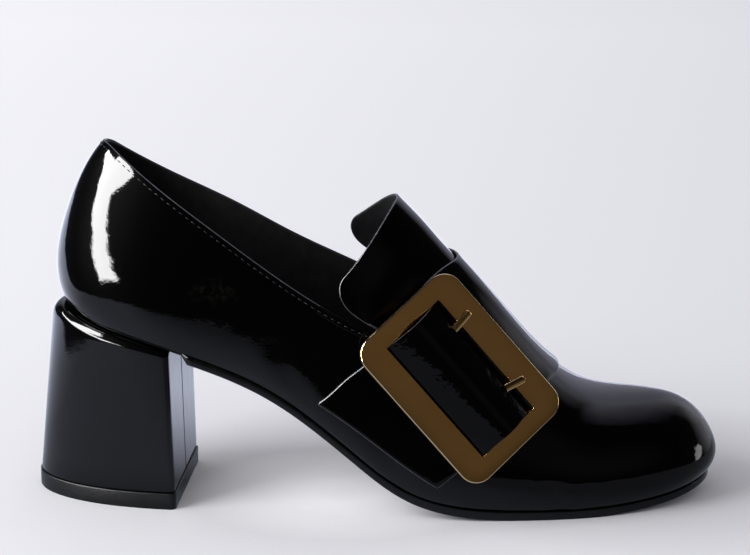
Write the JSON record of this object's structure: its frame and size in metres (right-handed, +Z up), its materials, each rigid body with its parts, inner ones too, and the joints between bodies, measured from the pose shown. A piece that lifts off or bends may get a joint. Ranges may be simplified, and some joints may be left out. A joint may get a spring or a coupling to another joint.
{
  "type": "block heel buckle pump",
  "caption": "Closed-toe pump in patent leather on a tall block heel, with a flared tongue and a wide instep strap held by a large flat metal buckle.",
  "frame": {"origin": "on the floor, in the middle of the heel's floor face", "axes": "+X from heel to toe, +Y to the medial side (to the left foot), +Z up"},
  "size_m": [0.2471, 0.0861, 0.1299],
  "materials": {
    "patent_leather": "high gloss patent",
    "sole_leather": "satin",
    "lining_leather": "matt",
    "heel_rubber": "satin",
    "gilt_metal": "brushed, polished edges"
  },
  "bodies": {
    "root": {"upper": "patent_leather", "outsole": "sole_leather", "insole": "lining_leather", "heel_block": "patent_leather", "heel_top_piece": "heel_rubber", "tongue": "patent_leather", "strap": "patent_leather", "buckle_band": "patent_leather", "buckle_frame": "gilt_metal", "prong_rear": "gilt_metal", "prong_front": "gilt_metal"}
  },
  "joints": []
}
